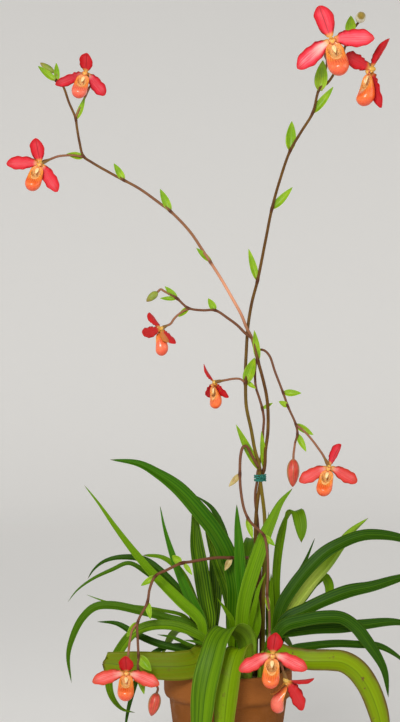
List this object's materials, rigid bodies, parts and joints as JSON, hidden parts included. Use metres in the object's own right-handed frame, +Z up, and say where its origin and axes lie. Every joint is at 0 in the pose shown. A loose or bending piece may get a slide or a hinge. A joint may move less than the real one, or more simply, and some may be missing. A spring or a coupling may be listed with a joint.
{
  "type": "potted slipper orchid",
  "caption": "Slipper orchid in a round clay pot: fans of arching strap leaves, tall branching spikes tied together, and red slipper blooms and buds.",
  "frame": {"origin": "centre of the pot's foot, on the surface the pot stands on", "axes": "+Z up along the pot's axis, -Y towards the side that most blooms face, +X to the right seen from there"},
  "size_m": [0.5531, 0.2953, 0.9509],
  "materials": {
    "terracotta": "unglazed fired clay, matte",
    "bark": "damp bark chips",
    "leaf": "waxy green leaf",
    "stem": "brown-green flower stem",
    "tie": "green plant tie",
    "petal": "satin red petal",
    "lip": "glossy orange pouch",
    "green_bud": "satin green bud",
    "red_bud": "satin red bud"
  },
  "bodies": {
    "root": {"clay_pot": "terracotta", "potting_mix": "bark", "leaf_fan_front": "leaf", "leaf_fan_left_front": "leaf", "leaf_fan_left": "leaf", "leaf_fan_centre_left": "leaf", "leaf_fan_centre": "leaf", "leaf_fan_right_back": "leaf", "leaf_fan_right": "leaf", "leaf_fan_right_front": "leaf", "leaf_fan_back_left": "leaf", "leaf_fan_back_right": "leaf", "spike_tall_right": "stem", "spike_tall_left": "stem", "spike_slender": "stem", "plant_tie": "tie", "bloom_1_petals": "petal", "bloom_1_lip": "lip", "bloom_2_petals": "petal", "bloom_2_lip": "lip", "bloom_3_petals": "petal", "bloom_3_lip": "lip", "bloom_4_petals": "petal", "bloom_4_lip": "lip", "bloom_5_petals": "petal", "bloom_5_lip": "lip", "bloom_6_petals": "petal", "bloom_6_lip": "lip", "bloom_7_petals": "petal", "bloom_7_lip": "lip", "bloom_8_petals": "petal", "bloom_8_lip": "lip", "bloom_9_petals": "petal", "bloom_9_lip": "lip", "bloom_10_petals": "petal", "bloom_10_lip": "lip", "bud_1": "green_bud", "bud_2": "green_bud", "bud_3": "green_bud", "bud_4": "red_bud", "bud_5": "red_bud"}
  },
  "joints": []
}
